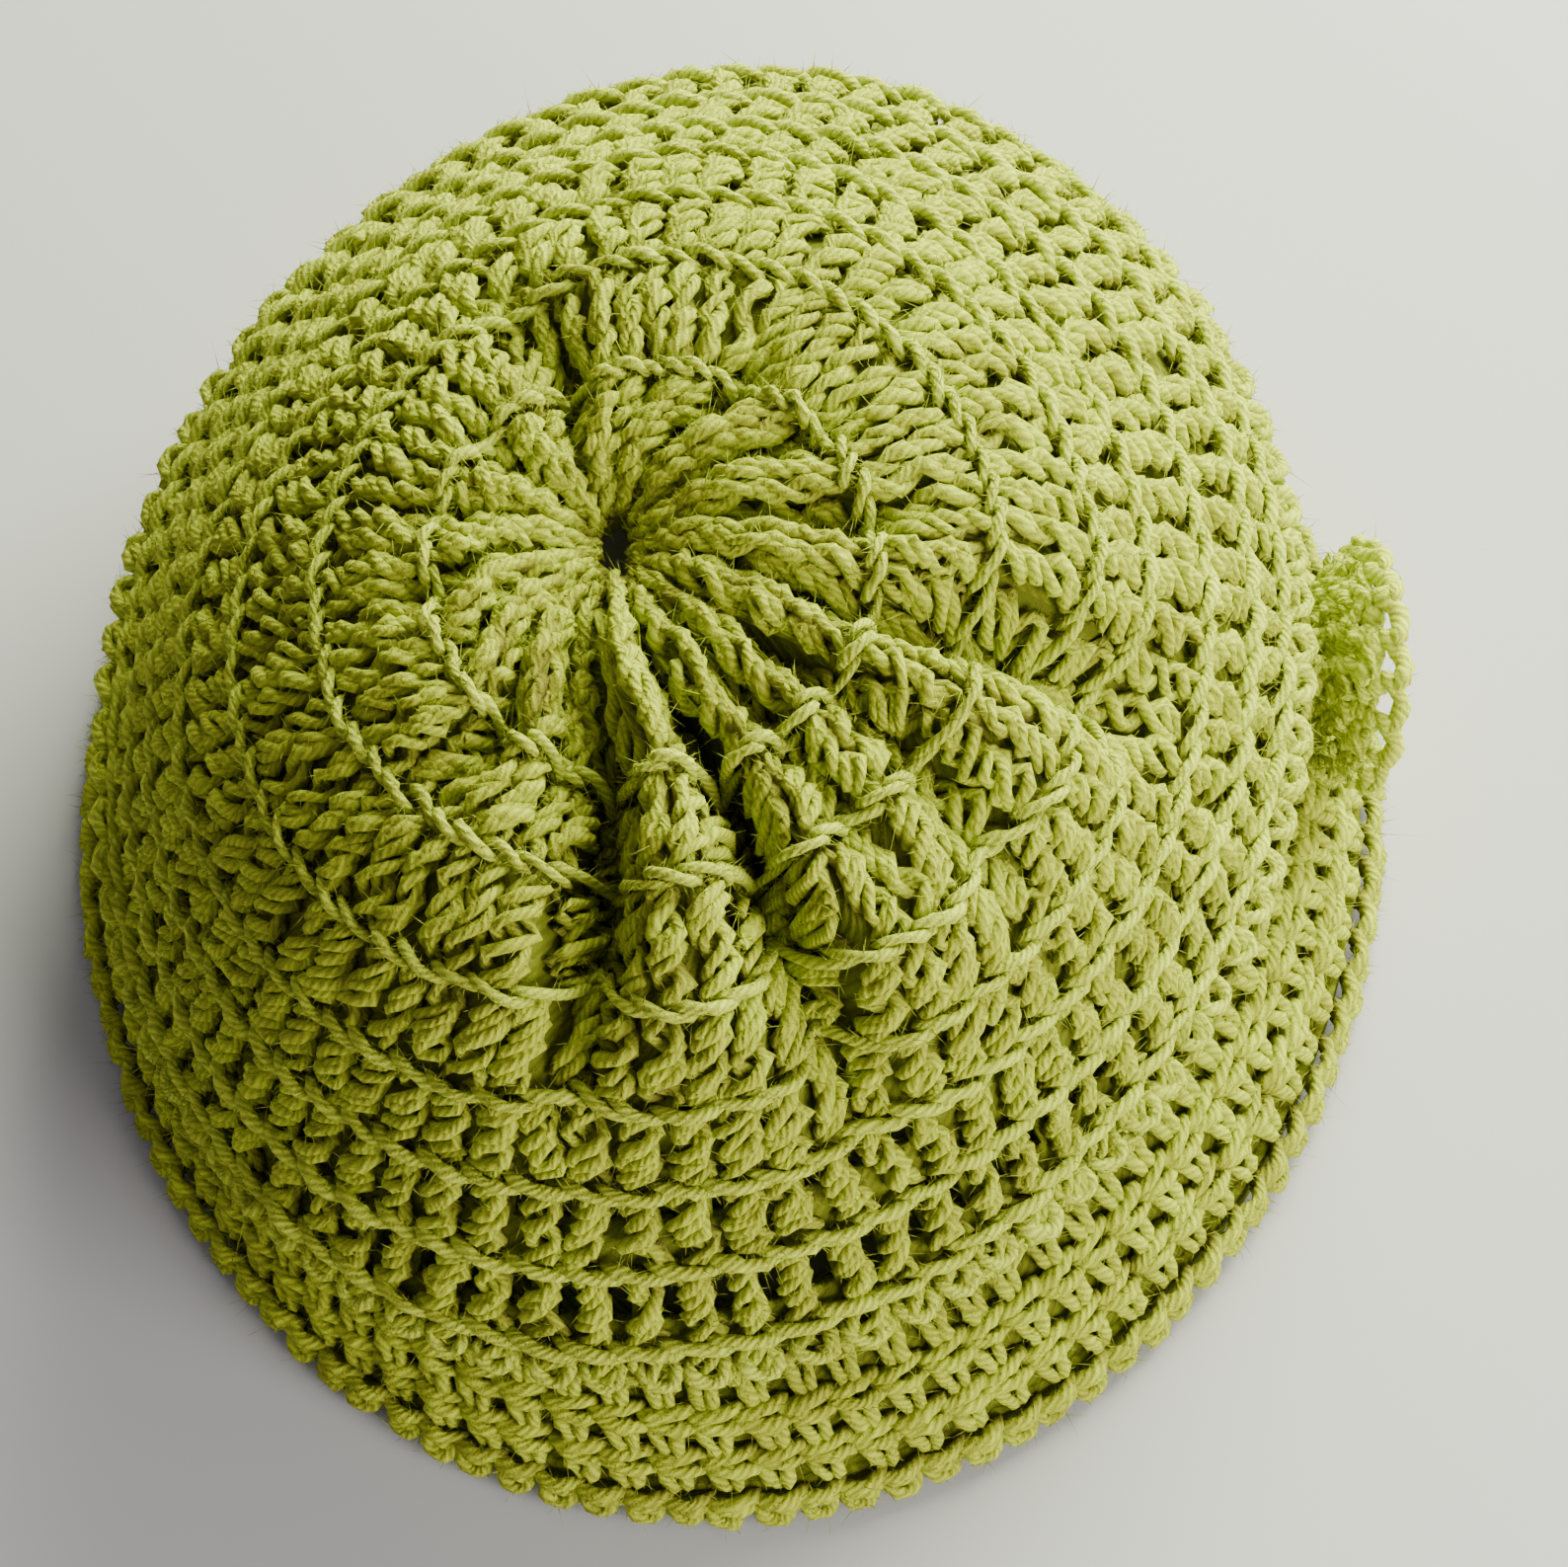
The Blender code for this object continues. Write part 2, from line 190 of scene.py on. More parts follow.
@dataclass(frozen=True)
class YarnFinish:
    """Soft plied wool mix, spun and lightly brushed: diagonal plies, matt, a pale bloom at the edges.

    The dye takes unevenly, in patches and in streaks along the yarn. Shade is painted into the colour,
    darker in the grooves between plies and the crevices between strands, and fine fibres break up the
    surface.
    """

    name: str
    light: str = "CEDF40"
    mid: str = "A3AA36"
    # Colour of the painted shade in ply grooves and in crevices between strands
    painted_shade: str = "645C2C"
    bloom: str = "C4D238"
    roughness: float = 0.9
    specular: float = 0.06
    sheen: float = 0.12
    sheen_roughness: float = 0.4
    mottle_size: float = 9 * MM
    fibre_size: float = 0.35 * MM
    streaks_per_ply: float = 1.3
    streak_share: float = 0.55
    ply_wander: float = 2.6
    ply_relief: float = 0.35 * MM
    fibre_relief: float = 0.3 * MM
    groove_shade: float = 0.40
    crevice_shade: float = 0.95

    def material(self) -> bpy.types.Material:
        """Build the material: ply stripes from the strand's own map, mottling and fibres in metres.

        Returns:
            The finished material.
        """
        material = bpy.data.materials.new(self.name)
        material.use_nodes = True
        tree = material.node_tree
        shader = tree.nodes["Principled BSDF"]
        place = add_node(tree, "ShaderNodeTexCoord", {})
        plies = add_node(
            tree, "ShaderNodeTexWave",
            {"Vector": place.outputs["UV"], "Scale": WAVE_PER_UNIT, "Distortion": self.ply_wander,
             "Detail": 2.0, "Detail Scale": 1.2},
            bands_direction="X",
        )
        mottle = add_node(
            tree, "ShaderNodeTexNoise",
            {"Vector": place.outputs["Object"], "Scale": 1 / self.mottle_size, "Detail": 3.0},
        )
        fibres = add_node(
            tree, "ShaderNodeTexNoise",
            {"Vector": place.outputs["Object"], "Scale": 1 / self.fibre_size, "Detail": 2.0},
        )
        streaks = add_node(
            tree, "ShaderNodeTexNoise",
            {"Vector": place.outputs["UV"], "Scale": self.streaks_per_ply, "Detail": 3.0},
        )
        crest = add_node(tree, "ShaderNodeAttribute", {}, attribute_name="crest")
        uneven = add_node(
            tree, "ShaderNodeMix", {0: self.streak_share, 2: mottle.outputs[0], 3: streaks.outputs[0]},
            data_type="FLOAT",
        )
        dyed = add_node(tree, "ShaderNodeMapRange", {0: uneven.outputs[0], 1: 0.36, 2: 0.64})
        colour = add_node(
            tree, "ShaderNodeMix", {0: dyed.outputs[0], 6: linear(self.mid), 7: linear(self.light)},
            data_type="RGBA",
        )
        # Painted shade in the ply grooves and in the crevices between strands. Each row: what drives it,
        # the values at which the shade is full and gone, its strength
        shades = (
            (plies.outputs[1], 0.0, 0.6, self.groove_shade),
            (crest.outputs["Fac"], 0.1, 0.8, self.crevice_shade),
        )
        for source, full, gone, strength in shades:
            shade = add_node(tree, "ShaderNodeMapRange", {0: source, 1: full, 2: gone, 3: strength, 4: 0.0})
            colour = add_node(
                tree, "ShaderNodeMix", {0: shade.outputs[0], 6: colour.outputs[2], 7: linear(self.painted_shade)},
                data_type="RGBA",
            )
        relief = add_node(
            tree, "ShaderNodeBump",
            {"Height": plies.outputs[1], "Strength": 0.5, "Distance": self.ply_relief},
        )
        hairs = add_node(
            tree, "ShaderNodeBump",
            {"Height": fibres.outputs[0], "Strength": 0.8, "Distance": self.fibre_relief,
             "Normal": relief.outputs[0]},
        )
        tree.links.new(colour.outputs[2], shader.inputs["Base Color"])
        tree.links.new(hairs.outputs[0], shader.inputs["Normal"])
        shader.inputs["Roughness"].default_value = self.roughness
        shader.inputs["Metallic"].default_value = 0.0
        shader.inputs["Specular IOR Level"].default_value = self.specular
        shader.inputs["Sheen Weight"].default_value = self.sheen
        shader.inputs["Sheen Roughness"].default_value = self.sheen_roughness
        shader.inputs["Sheen Tint"].default_value = linear(self.bloom)
        return material


@dataclass(frozen=True)
class PaperFinish:
    """Matt uncoated paper: an even soft grey that takes a soft shadow."""

    name: str = "pale_paper"
    colour: str = "CBCCCE"
    roughness: float = 0.9
    specular: float = 0.2

    def material(self) -> bpy.types.Material:
        """Build the floor's plain material.

        Returns:
            The material.
        """
        material = bpy.data.materials.new(self.name)
        material.use_nodes = True
        shader = material.node_tree.nodes["Principled BSDF"]
        shader.inputs["Base Color"].default_value = linear(self.colour)
        shader.inputs["Roughness"].default_value = self.roughness
        shader.inputs["Specular IOR Level"].default_value = self.specular
        return material


def read_rows(columns: tuple, rows: tuple, place: np.ndarray) -> dict[str, np.ndarray]:
    """Read a table at fractional rows, on a smooth curve through its rows.

    Args:
        columns: The columns' names.
        rows: The table's rows.
        place: Where to read, as fractional row numbers.

    Returns:
        Each column's name with its values.
    """
    table = np.array(rows, float)
    slopes = np.gradient(table, axis=0)
    first = np.clip(place.astype(int), 0, len(rows) - 2)
    share = (place - first)[..., None]
    values = (
        table[first] * (1 + 2 * share) * (1 - share) ** 2
        + slopes[first] * share * (1 - share) ** 2
        + table[first + 1] * share ** 2 * (3 - 2 * share)
        + slopes[first + 1] * share ** 2 * (share - 1)
    )
    return {name: values[..., column] for column, name in enumerate(columns)}


@dataclass
class HatForm:
    """The hat's outline: ovals stacked from the gathered hole to the rim, with pleats and folds."""

    rim_width: float = 182 * MM
    rim_depth: float = 205 * MM
    edging_height: float = 6.5 * MM
    band_height: float = 23 * MM
    crown_rise: float = 83 * MM
    gather_depth: float = 10 * MM
    gather_swell: float = 2.5 * MM
    gather_half_angle: float = 6.0
    fold_depth: float = 16 * MM
    fold_sharpness: float = 0.6
    lip_place: float = 8.4
    lip_swell: float = 2.4 * MM
    lip_width: float = 0.4
    tuck_depth: float = 5.5 * MM
    tuck_place: float = 9.0
    hole_half_width: float = 1.3 * MM
    hole_half_depth: float = 3.2 * MM
    seam_gap: float = 0.3 * MM
    step: float = 0.02
    rim_samples: int = 97
    shift: np.ndarray = field(default_factory=lambda: np.zeros(3))

    def __post_init__(self) -> None:
        """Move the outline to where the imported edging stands."""
        low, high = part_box("edging")
        rim = self.rim(np.linspace(0, 2 * math.pi, self.rim_samples), np.zeros(self.rim_samples))
        self.shift = np.array([(low.x + high.x) / 2, (low.y + high.y) / 2, low.z])
        self.shift[:2] -= (rim.min(axis=0)[:2] + rim.max(axis=0)[:2]) / 2

    def oval(self, row: dict, theta: np.ndarray, height: np.ndarray) -> np.ndarray:
        """Points of an oval round of the hat.

        Args:
            row: The round's shares, by column name.
            theta: Angles from the right, in radians.
            height: Heights above the floor.

        Returns:
            Points, one for each angle.
        """
        half_x = np.hypot(self.rim_width / 2 * row["half_width"], self.hole_half_width)
        half_y = np.hypot(self.rim_depth / 2 * row["half_depth"], self.hole_half_depth)
        middle = row["centre_x"] + row["skew"] * np.sin(theta)
        x = self.rim_width / 2 * middle + half_x * np.cos(theta) * (1 + row["taper"] * np.sin(theta))
        y = self.rim_depth / 2 * row["centre_y"] + half_y * np.sin(theta)
        return np.stack([x, y, height + 0 * theta], axis=-1) + self.shift

    def rim(self, theta: np.ndarray, place: np.ndarray) -> np.ndarray:
        """Outer side of the edging, from its top at place 0 to its foot at place 1.

        Args:
            theta: Angles round the hat, in radians.
            place: Places from 0 at the top to 1 at the foot.

        Returns:
            Points on the outer side.
        """
        row = dict(zip(RIM_COLUMNS, RIM_OVAL))
        return self.oval(row, theta, self.edging_height * (1 - place))

    def band(self, theta: np.ndarray, place: np.ndarray) -> np.ndarray:
        """Outer side of the band, from its top at place 0 to its foot at place 3.

        Args:
            theta: Angles round the hat, in radians.
            place: Places from 0 at the top to 3 at the foot.

        Returns:
            Points on the outer side.
        """
        row = read_rows(BAND_COLUMNS, BAND_ROUNDS, place)
        foot = self.edging_height + self.seam_gap
        tuck = 2 * self.tuck_depth * np.clip(1 - place, 0, 1) ** 2
        row["half_width"] = row["half_width"] - tuck / self.rim_width
        row["half_depth"] = row["half_depth"] - tuck / self.rim_depth
        return self.oval(row, theta, foot + self.band_height * row["level"])

    def crown_base(self, theta: np.ndarray, place: np.ndarray) -> np.ndarray:
        """Outer side of the crown before its pleats and folds.

        Args:
            theta: Angles round the hat, in radians.
            place: Places in rounds of the crown.

        Returns:
            Points on the outer side.
        """
        row = read_rows(CROWN_COLUMNS, CROWN_ROUNDS, place)
        tilt = row["rise_right"] * np.cos(theta) + row["rise_front"] * np.sin(theta)
        level = row["level"] + tilt - row["saddle"] * np.cos(2 * theta)
        foot = self.edging_height + self.band_height + 2 * self.seam_gap
        return self.oval(row, theta, foot + self.crown_rise * level)

    def relief(self, theta: np.ndarray, place: np.ndarray) -> np.ndarray:
        """Depth of the pleats' valleys and of the long folds, negative into the hat.

        Args:
            theta: Angles round the hat, in radians.
            place: Places in rounds of the crown.

        Returns:
            Depths, in metres.
        """
        share = read_rows(CROWN_COLUMNS, CROWN_ROUNDS, place)["gather"]
        relief = self.gather_swell * share + 0 * theta
        relief = relief + self.lip_swell * np.exp(-((place - self.lip_place) / self.lip_width) ** 2)
        relief = relief - self.tuck_depth * np.clip(place - self.tuck_place, 0, 1) ** 0.7
        for values in GATHERS:
            valley = dict(zip(GATHER_COLUMNS, values))
            fade = np.clip(valley["reach"] - place, 0, 1)
            across = self.off_angle(theta, valley["direction"]) / self.gather_half_angle
            relief = relief - self.gather_depth * share * valley["depth"] * fade * np.exp(-across ** 2)
        for values in FOLDS:
            fold = dict(zip(FOLD_COLUMNS, values))
            along = (place - fold["first_round"]) / (fold["last_round"] - fold["first_round"])
            along = np.clip(along, 0, 1)
            turn = fold["last_direction"] - fold["first_direction"]
            across = self.off_angle(theta, fold["first_direction"] + turn * along)
            across = across / (fold["half_angle"] * self.fold_sharpness)
            depth = self.fold_depth * fold["depth"] * np.sin(math.pi * along)
            relief = relief - depth * np.exp(-across ** 2)
        return relief

    @staticmethod
    def off_angle(theta: np.ndarray, direction: np.ndarray) -> np.ndarray:
        """Signed angle in degrees from a direction in degrees."""
        return (np.degrees(theta) - direction + 180) % 360 - 180

    def crown(self, theta: np.ndarray, place: np.ndarray) -> np.ndarray:
        """Outer side of the crown with its pleats and folds.

        Args:
            theta: Angles round the hat, in radians.
            place: Places in rounds of the crown.

        Returns:
            Points on the outer side.
        """
        last = len(CROWN_ROUNDS) - 1
        along = self.crown_base(theta + self.step, place) - self.crown_base(theta - self.step, place)
        low = self.crown_base(theta, np.minimum(place + self.step, last))
        high = self.crown_base(theta, np.maximum(place - self.step, 0))
        normal = np.cross(low - high, along)
        normal /= np.linalg.norm(normal, axis=-1, keepdims=True)
        return self.crown_base(theta, place) + normal * self.relief(theta, place)[..., None]


class Surface:
    """A sheet of the hat, read by turn (share of the way round) and place (crochet round)."""

    around: int = 960
    steps: int = 20

    def __init__(self, point: Callable, last: int, even: Callable | None = None) -> None:
        """Sample a sheet and space its points evenly round each round.

        Args:
            point: Function of angle and place that gives the sheet's points.
            last: The last place.
            even: Sheet on which the spacing is even, such as one without its pleats.
        """
        theta = np.linspace(0, 2 * math.pi, self.around + 1)
        place = np.linspace(0, last, last * self.steps + 1)
        grid = point(*np.meshgrid(theta, place))
        spaced = (even or point)(*np.meshgrid(theta, place))
        stretch = np.linalg.norm(np.diff(spaced, axis=1), axis=-1)
        walked = np.concatenate([np.zeros((len(place), 1)), np.cumsum(stretch, axis=1)], axis=1)
        self.last = last
        self.length = walked[:, -1]
        shares = np.linspace(0, 1, self.around, endpoint=False)
        rows = []
        for line, way in zip(grid, walked):
            columns = [np.interp(shares * way[-1], way, line[:, axis]) for axis in range(3)]
            rows.append(np.stack(columns, axis=-1))
        self.points = np.array(rows)
        along = np.roll(self.points, -1, axis=1) - np.roll(self.points, 1, axis=1)
        down = np.gradient(self.points, axis=0)
        normal = np.cross(down, along)
        self.normals = normal / np.linalg.norm(normal, axis=-1, keepdims=True)

    def round_length(self, place: np.ndarray) -> np.ndarray:
        """Length of the way round at each place.

        Args:
            place: Places, in rounds.

        Returns:
            Lengths, in metres.
        """
        rows = np.arange(len(self.length))
        return np.interp(np.clip(place, 0, self.last) * self.steps, rows, self.length)

    def read(self, turn: np.ndarray, place: np.ndarray) -> tuple[np.ndarray, np.ndarray]:
        """Points and outward directions of the sheet.

        Args:
            turn: Shares of the way round.
            place: Places, in rounds.

        Returns:
            Points and unit normals, with the shape of turn.
        """
        column = (turn % 1) * self.around
        row = np.clip(place, 0, self.last) * self.steps
        left = np.floor(column).astype(int)
        upper = np.clip(np.floor(row).astype(int), 0, len(self.points) - 2)
        across = (column - left)[..., None]
        down = (row - upper)[..., None]
        left = left % self.around
        right = (left + 1) % self.around
        values = []
        for grid in (self.points, self.normals):
            top = grid[upper, left] * (1 - across) + grid[upper, right] * across
            foot = grid[upper + 1, left] * (1 - across) + grid[upper + 1, right] * across
            values.append(top * (1 - down) + foot * down)
        normal = values[1] / np.linalg.norm(values[1], axis=-1, keepdims=True)
        return values[0], normal


class YarnMesh:
    """Many strands of plied yarn, joined into one mesh with a map along each strand."""

    sides: int = 6
    rough: float = 0.09
    plies: int = 4
    lay: float = 5.6 * MM
    lay_spread: float = 0.18
    start_spread: float = 7.0
    ply_oval: float = 0.12
    crest_reach: float = 1.6 * MM

    def __init__(self, seen: Seen = Seen.OUTER) -> None:
        """Start with no strands.

        Args:
            seen: Which faces of the fabric are seen, and so which side of a strand lies in a crevice.
        """
        self.seen = seen
        self.random = np.random.default_rng(SEED + self.sides)
        self.points: list[np.ndarray] = []
        self.faces: list[np.ndarray] = []
        self.maps: list[np.ndarray] = []
        self.crests: list[np.ndarray] = []
        self.outward: list[np.ndarray] = []
        self.count = 0

    def lay_strands(
        self, path: np.ndarray, normal: np.ndarray, lift: np.ndarray, radius: np.ndarray
    ) -> None:
        """Sweep a round of yarn along each of many paths.

        Args:
            path: Points, strands by points by 3.
            normal: The fabric's outward directions at those points.
            lift: Height of each point above the fabric's surface.
            radius: The yarn's radius at each point.
        """
        strands, length, _ = path.shape
        tangent = np.gradient(path, axis=1)
        tangent /= np.linalg.norm(tangent, axis=-1, keepdims=True) + 1e-12
        frame_normal = self.carried(tangent, normal)
        side = np.cross(tangent, frame_normal)
        steps = np.linalg.norm(np.diff(path, axis=1), axis=-1)
        walked = np.concatenate([np.zeros((strands, 1)), np.cumsum(steps, axis=1)], axis=1)
        angle = np.arange(self.sides) * 2 * math.pi / self.sides
        turned = walked[..., None] * 2 * math.pi / self.lay
        oval = 1 + self.ply_oval * np.cos(2 * (angle - turned))
        uneven = 1 + self.rough * self.random.standard_normal((strands, length, self.sides))
        reach = radius[..., None] * oval * uneven
        spread = (
            frame_normal[:, :, None] * (np.cos(angle) * reach)[..., None]
            + side[:, :, None] * (np.sin(angle) * reach)[..., None]
        )
        points = path[:, :, None] + spread
        # Crest drives the painted crevice shade: how far each point stands proud of the fabric. Where both
        # faces are seen, both sides of a strand count as proud and take little of it
        proud = lift[..., None] + (spread * normal[:, :, None]).sum(axis=-1)
        if self.seen is Seen.BOTH:
            proud = np.abs(proud) + self.crest_reach / 2
        crest = np.clip(0.5 + proud / (2 * self.crest_reach), 0, 1)
        laid = 1 + self.lay_spread * self.random.standard_normal((strands, 1, 1))
        start = self.start_spread * self.random.random((strands, 1, 1))
        phase = walked[..., None] / self.lay * laid * self.plies + start
        self.points.append(points.reshape(-1, 3))
        self.crests.append(crest.reshape(-1))
        self.outward.append((spread / reach[..., None]).reshape(-1, 3))
        self.add_faces(strands, length, phase)

    def carried(self, tangent: np.ndarray, normal: np.ndarray) -> np.ndarray:
        """Carry a direction square to each path along it without turning.

        Args:
            tangent: The paths' directions.
            normal: Outward directions to start from.

        Returns:
            Unit directions square to the tangents.
        """
        carried = np.empty_like(tangent)
        current = normal[:, 0]
        for step in range(tangent.shape[1]):
            here = tangent[:, step]
            current = current - (current * here).sum(axis=-1, keepdims=True) * here
            current = current / (np.linalg.norm(current, axis=-1, keepdims=True) + 1e-12)
            carried[:, step] = current
        return carried

    def add_faces(self, strands: int, length: int, phase: np.ndarray) -> None:
        """Add the faces of many equal strands, their closed ends and their maps.

        Args:
            strands: How many strands there are.
            length: Points along each.
            phase: Plies passed at each point.
        """
        ring = np.arange(self.sides)
        after = (ring + 1) % self.sides
        start = np.arange(strands)[:, None, None] * length * self.sides
        step = np.arange(length - 1)[None, :, None] * self.sides
        near = self.count + start + step
        far = near + self.sides
        wall = np.stack([near + ring, near + after, far + after, far + ring], axis=-1)
        share = ring / self.sides
        share_after = (ring + 1) / self.sides
        here = np.broadcast_to(phase[:, :-1], (strands, length - 1, self.sides))
        there = np.broadcast_to(phase[:, 1:], (strands, length - 1, self.sides))
        corners = ((here, share), (here, share_after), (there, share_after), (there, share))
        maps = [np.stack([along + self.plies * way, way + 0 * along], axis=-1) for along, way in corners]
        maps = np.stack(maps, axis=-2)
        self.faces.append(wall.reshape(-1, 4))
        self.maps.append(maps.reshape(-1, 4, 2))
        first = self.count + np.arange(strands) * length * self.sides
        last = first + (length - 1) * self.sides
        for half in range(1, self.sides - 1, 2):
            corner = np.array((0, half, half + 1, half + 2))
            self.faces.append((first[:, None] + corner)[:, ::-1])
            self.faces.append(last[:, None] + corner)
            self.maps.append(np.zeros((strands, 4, 2)))
            self.maps.append(np.zeros((strands, 4, 2)))
        self.count += strands * length * self.sides

    def finish(self, name: str, finish: YarnFinish) -> bpy.types.Object:
        """Make the mesh object of all the strands.

        Args:
            name: The object's name.
            finish: Its yarn.

        Returns:
            The new object.
        """
        mesh = face_mesh(name, np.concatenate(self.points), np.concatenate(self.faces), finish)
        write_map(mesh, np.concatenate(self.maps))
        write_crest(mesh, np.concatenate(self.crests))
        return placed(name, mesh)


def write_map(mesh: bpy.types.Mesh, maps: np.ndarray) -> None:
    """Write where each face corner lies on the yarn: plies passed along it, and share round it.

    Args:
        mesh: The mesh that gets it.
        maps: A pair of numbers for each face corner.
    """
    layer = mesh.uv_layers.new(name="yarn_map")
    layer.data.foreach_set("uv", maps.reshape(-1).astype(np.float32))


def write_crest(mesh: bpy.types.Mesh, crests: np.ndarray) -> None:
    """Write how proud each point lies, from 0 at the bottom of a crevice to 1 on a crest; shade is painted
    from it.

    Args:
        mesh: The mesh that gets it.
        crests: A number for each point.
    """
    layer = mesh.attributes.new("crest", "FLOAT", "POINT")
    layer.data.foreach_set("value", crests.reshape(-1).astype(np.float32))


def placed(name: str, mesh: bpy.types.Mesh) -> bpy.types.Object:
    """Put a mesh in the scene as an object at the origin.

    Args:
        name: The object's name.
        mesh: Its mesh.

    Returns:
        The new object.
    """
    piece = bpy.data.objects.new(name, mesh)
    bpy.context.scene.collection.objects.link(piece)
    log.info("%s: %d faces", name, len(mesh.polygons))
    return piece


def face_mesh(name: str, points: np.ndarray, faces: np.ndarray, finish: YarnFinish) -> bpy.types.Mesh:
    """Make a smooth mesh of faces that all have the same number of corners.

    Args:
        name: The mesh's name.
        points: Its points.
        faces: Point numbers, a row for each face.
        finish: Its yarn.

    Returns:
        The mesh.
    """
    points = points.copy()
    points[:, 2] = np.maximum(points[:, 2], FLOOR_GAP)
    mesh = bpy.data.meshes.new(name)
    mesh.vertices.add(len(points))
    mesh.vertices.foreach_set("co", points.reshape(-1).astype(np.float32))
    mesh.loops.add(faces.size)
    mesh.loops.foreach_set("vertex_index", faces.reshape(-1).astype(np.int32))
    mesh.polygons.add(len(faces))
    mesh.polygons.foreach_set("loop_start", np.arange(0, faces.size, faces.shape[1], dtype=np.int32))
    mesh.update(calc_edges=True)
    mesh.validate()
    mesh.shade_smooth()
    mesh.materials.append(finish.material())
    return mesh


class Stitcher:
    """Lays crochet stitches on a sheet of the hat.

    A spread says how much a measure varies from stitch to stitch, as it does in work made by hand.
    Roots lie under the sheet, where a stitch dives into its neighbour.
    """

    radius: float = 1.1 * MM
    post_radius: float = 0.87 * MM
    ridge_radius: float = 0.85 * MM
    size_spread: float = 0.08
    slub_spread: float = 0.09
    end_size: float = 0.3
    end_slope: float = 7.0
    drift: float = 0.5 * MM
    lift_spread: float = 0.15 * MM
    root: float = 1.2 * MM

    post_strands: int = 4
    post_root: float = 1.3 * MM
    post_arch: float = 1.5 * MM
    post_overlap: float = 0.15 * MM
    post_room: tuple[float, float] = (0.3 * MM, 2.4 * MM)
    post_depth: tuple[float, float] = (0.6 * MM, 1.0 * MM)
    post_spacing_spread: float = 0.07
    post_lean_spread: float = 0.25
    post_start_spread: float = 0.9
    strand_start_spread: float = 0.4
    strand_turn_spread: float = 0.17
    strand_width_spread: float = 0.14

    ridge_root: float = 0.3 * MM
    ridge_height: float = 1.9 * MM
    ridge_height_spread: float = 0.2 * MM
    ridge_slant: float = 0.055
    ridge_slant_spread: float = 0.015
    ridge_place_spread: float = 0.012

    chain_height: float = 2.1 * MM
    chain_tilt: float = 0.25 * MM
    vee_height: float = 1.7 * MM
    knob_root: float = 1.0 * MM
    knob_spread: float = 0.1

    def __init__(self, surface: Surface, random: np.random.Generator) -> None:
        """Keep the sheet and the source of small irregularities."""
        self.surface = surface
        self.random = random

    def strands(
        self, yarn: YarnMesh, turn: np.ndarray, place: np.ndarray, lift: np.ndarray, radius: np.ndarray
    ) -> None:
        """Lay strands by turn, place and height above the sheet.

        Args:
            yarn: The mesh that takes them.
            turn: Shares of the way round, strands by points.
            place: Places in rounds.
            lift: Heights above the sheet.
            radius: The yarn's radius.
        """
        points, normals = self.surface.read(turn, place)
        yarn.lay_strands(points + normals * lift[..., None], normals, lift, radius)

    def tapered(self, count: int, length: int, radius: float) -> np.ndarray:
        """Radii of many strands that thin out at both ends, each a little thicker or thinner.

        Args:
            count: How many strands.
            length: Points in each.
            radius: The yarn's radius.

        Returns:
            Radii, strands by points.
        """
        share = np.linspace(0, 1, length)
        ends = np.clip(np.minimum(share, 1 - share) * self.end_slope, 0, 1) ** 0.5
        size = 1 + self.size_spread * self.random.standard_normal((count, 1))
        slub = 1 + self.slub_spread * self.random.standard_normal((count, length))
        return radius * size * slub * (self.end_size + (1 - self.end_size) * ends)

    def spread(self, count: int, amount: float) -> np.ndarray:
        """One random amount for each stitch, as a column."""
        return amount * self.random.standard_normal((count, 1))

    def starts(self, count: int, amount: float) -> np.ndarray:
        """Where each stitch of a round starts, in stitches, as a column."""
        return (np.arange(count) + amount * self.random.standard_normal(count))[:, None]

    def wander(self, count: int, share: np.ndarray) -> np.ndarray:
        """Slow sideways drift of each strand, as soft yarn never lies quite true.

        Args:
            count: How many strands.
            share: Shares along a strand.

        Returns:
            Drifts, strands by points.
        """
        waves = 1.2 + 1.3 * self.random.random((count, 1))
        start = 2 * math.pi * self.random.random((count, 1))
        return self.drift * np.sin(2 * math.pi * waves * share + start)

    def posts(
        self, yarn: YarnMesh, first: float, last: float, count: int, gauge: float,
        turns: float = 1.35, opened: float = 0.3, ragged: float = 0.02, length: int = 10,
    ) -> None:
        """Tall stitches of one round: strands that turn round each other down the round.

        Args:
            yarn: The mesh that takes them.
            first: Place of their tops.
            last: Place of their feet.
            count: Stitches in the round.
            gauge: Yarn size against the standard yarn.
            turns: How many times the strands turn round each other.
            opened: How much narrower a stitch is at its top than at its foot.
            ragged: How unevenly the stitches start, in places.
            length: Points along a strand.
        """
        pitch = 1 / count
        share = np.linspace(0, 1, length)
        middle = (self.starts(count, self.post_spacing_spread) + 0.5) * pitch
        lean = self.spread(count, self.post_lean_spread)
        slit = np.cos(4 * math.pi * middle)
        start = first + ragged * (self.spread(count, 0.6) - 0.8 * slit)
        place = start + (last - start) * (0.01 + 0.99 * share)
        loop_length = self.surface.round_length(place)
        radius = gauge * self.post_radius
        room = np.clip(loop_length * pitch / 2 - radius + self.post_overlap, *self.post_room)
        phase = self.spread(count, self.post_start_spread)
        for strand in range(self.post_strands):
            begin = 2 * math.pi * strand / self.post_strands + self.spread(count, self.strand_start_spread)
            rate = turns * (1 + self.spread(count, self.strand_turn_spread))
            angle = phase + begin + 2 * math.pi * rate * share
            swell = 1 + self.spread(count, self.strand_width_spread)
            wide = room * (1.05 - opened * (1 - share ** 4)) * swell
            aside = wide * np.cos(angle) + self.wander(count, share)
            turn = middle + lean * pitch * (share - 0.5) + aside / loop_length
            arch = self.post_arch * np.sin(math.pi * share) ** 0.5 - self.post_root
            lift = arch + np.clip(room, *self.post_depth) * np.sin(angle) + self.wander(count, share)
            self.strands(yarn, turn, place, lift, self.tapered(count, length, radius))

